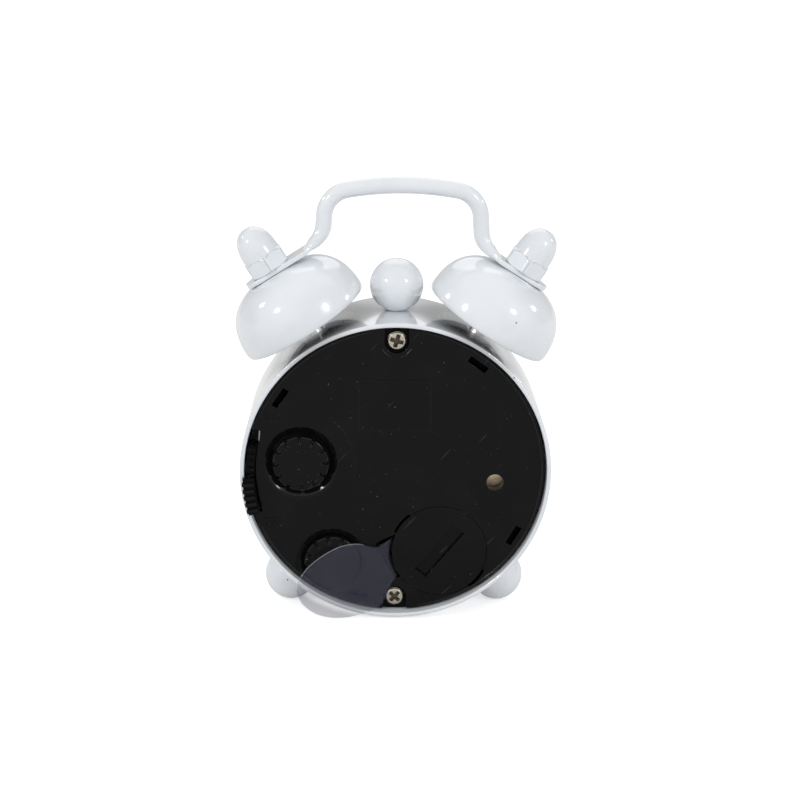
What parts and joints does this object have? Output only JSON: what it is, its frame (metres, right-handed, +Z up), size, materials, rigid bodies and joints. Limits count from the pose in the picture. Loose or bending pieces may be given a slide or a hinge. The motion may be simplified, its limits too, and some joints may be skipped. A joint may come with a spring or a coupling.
{
  "type": "analog alarm clock",
  "caption": "Small round twin-bell style quartz alarm clock with ball feet, wire handle, setting knobs, bayonet battery cover and battery pull tab on its back.",
  "frame": {"origin": "on the surface the clock stands on, below the middle of its bounding box, in the plane of the bells and feet", "axes": "+Z up, +Y out of the back with the knobs, -Y out of the dial, +X to the right seen from the dial side"},
  "size_m": [0.0436, 0.0186, 0.0602],
  "materials": {
    "enamel": "high-gloss cool white enamel on sheet metal",
    "clear_lens": "clear moulded lens",
    "white_plastic": "plain moulded",
    "dial_print": "matt printed sheet",
    "grey_plastic": "plain moulded",
    "black_plastic": "satin moulded, fine specks",
    "bright_steel": "nickel plated",
    "cell_steel": "plain steel can",
    "contact_brass": "plain brass",
    "clear_film": "clear polyester film",
    "board_green": "lacquered board",
    "chip_black": "resin blob",
    "coil_wire": "enamelled copper wire",
    "sounder_brass": "dull brass disc",
    "gear_plastic": "moulded acetal",
    "magnet_grey": "bonded magnet",
    "hand_black": "black lacquer",
    "hand_red": "red lacquer"
  },
  "bodies": {
    "case": {"case_shell": "enamel", "lens": "clear_lens", "inner_ring": "white_plastic", "dial": "dial_print", "movement_plate": "grey_plastic", "back_cover": "black_plastic", "back_screws": "bright_steel", "left_bell": "enamel", "right_bell": "enamel", "bell_posts": "bright_steel", "post_nuts": "bright_steel", "cap_nuts": "enamel", "handle": "enamel", "top_ball": "enamel", "ball_screw": "bright_steel", "left_foot": "enamel", "right_foot": "enamel", "foot_screws": "bright_steel", "battery": "cell_steel", "contact_plus": "contact_brass", "contact_minus": "contact_brass", "circuit_board": "board_green", "chip": "chip_black", "crystal": "bright_steel", "coil": "coil_wire", "stator": "bright_steel", "buzzer": "sounder_brass"},
    "time_knob": {"time_knob": "black_plastic", "set_pinion": "gear_plastic"},
    "minute_wheel": {"minute_wheel": "gear_plastic"},
    "minute_hand": {"cannon_pinion": "contact_brass", "minute_hand": "hand_black"},
    "hour_hand": {"hour_wheel": "gear_plastic", "hour_hand": "hand_black"},
    "alarm_knob": {"alarm_knob": "black_plastic", "alarm_pinion": "gear_plastic"},
    "alarm_idler": {"alarm_idler": "gear_plastic"},
    "alarm_hand": {"alarm_wheel": "gear_plastic", "alarm_hand": "hand_red"},
    "second_hand": {"second_wheel": "gear_plastic", "second_hand": "hand_red"},
    "rotor": {"rotor": "magnet_grey"},
    "intermediate_wheel": {"intermediate_wheel": "gear_plastic"},
    "third_wheel": {"third_wheel": "gear_plastic"},
    "center_wheel": {"center_wheel": "contact_brass"},
    "alarm_switch": {"alarm_switch": "black_plastic"},
    "battery_cover": {"battery_cover": "black_plastic"},
    "pull_tab": {"pull_tab": "clear_film"}
  },
  "joints": [
    {"name": "time_knob_turn", "type": "hinge", "parent": "case", "child": "time_knob", "pos_m": [0.01281, 0, 0.02258], "axis": [0, 1, 0], "continuous": true},
    {"name": "minute_wheel_turn", "type": "hinge", "parent": "case", "child": "minute_wheel", "pos_m": [0.00603, 0, 0.02189], "axis": [0, 1, 0], "continuous": true},
    {"name": "minute_hand_turn", "type": "hinge", "parent": "case", "child": "minute_hand", "pos_m": [0, 0, 0.02128], "axis": [0, 1, 0], "continuous": true},
    {"name": "hour_hand_turn", "type": "hinge", "parent": "case", "child": "hour_hand", "pos_m": [0, 0, 0.02128], "axis": [0, 1, 0], "continuous": true},
    {"name": "alarm_knob_turn", "type": "hinge", "parent": "case", "child": "alarm_knob", "pos_m": [0.00861, 0, 0.00817], "axis": [0, 1, 0], "continuous": true},
    {"name": "alarm_idler_turn", "type": "hinge", "parent": "case", "child": "alarm_idler", "pos_m": [0.00497, 0, 0.01372], "axis": [0, 1, 0], "continuous": true},
    {"name": "alarm_hand_turn", "type": "hinge", "parent": "case", "child": "alarm_hand", "pos_m": [0, 0, 0.02128], "axis": [0, 1, 0], "continuous": true},
    {"name": "second_hand_turn", "type": "hinge", "parent": "case", "child": "second_hand", "pos_m": [0, 0, 0.02128], "axis": [0, 1, 0], "continuous": true},
    {"name": "intermediate_wheel_turn", "type": "hinge", "parent": "case", "child": "intermediate_wheel", "pos_m": [-0.0028, 0, 0.02613], "axis": [0, 1, 0], "continuous": true},
    {"name": "rotor_turn", "type": "hinge", "parent": "case", "child": "rotor", "pos_m": [-0.00654, 0, 0.02829], "axis": [0, 1, 0], "continuous": true},
    {"name": "third_wheel_turn", "type": "hinge", "parent": "case", "child": "third_wheel", "pos_m": [0.00438, 0, 0.01689], "axis": [0, 1, 0], "continuous": true},
    {"name": "center_wheel_turn", "type": "hinge", "parent": "case", "child": "center_wheel", "pos_m": [0, 0, 0.02128], "axis": [0, 1, 0], "continuous": true},
    {"name": "alarm_switch_slide", "type": "hinge", "parent": "case", "child": "alarm_switch", "pos_m": [0, 0, 0.02128], "axis": [0, -1, 0], "range_deg": [0, 5.7]},
    {"name": "battery_cover_turn", "type": "hinge", "parent": "case", "child": "battery_cover", "pos_m": [-0.00611, 0, 0.00978], "axis": [0, 1, 0], "range_deg": [0, 45]},
    {"name": "pull_tab_pull", "type": "slide", "parent": "case", "child": "pull_tab", "axis": [0.8, 0.6, 0], "range_m": [0, 0.016], "deforming": ["pull_tab"]}
  ],
  "couplings": [
    {"joint": "minute_wheel_turn", "follows": "time_knob_turn", "ratio": -0.5},
    {"joint": "minute_hand_turn", "follows": "time_knob_turn", "ratio": 1.5},
    {"joint": "hour_hand_turn", "follows": "time_knob_turn", "ratio": 0.125},
    {"joint": "alarm_idler_turn", "follows": "alarm_knob_turn", "ratio": -0.41026},
    {"joint": "alarm_hand_turn", "follows": "alarm_knob_turn", "ratio": 0.44444},
    {"joint": "intermediate_wheel_turn", "follows": "second_hand_turn", "ratio": -6},
    {"joint": "rotor_turn", "follows": "second_hand_turn", "ratio": 30},
    {"joint": "third_wheel_turn", "follows": "second_hand_turn", "ratio": -0.125},
    {"joint": "center_wheel_turn", "follows": "second_hand_turn", "ratio": 0.016667}
  ]
}
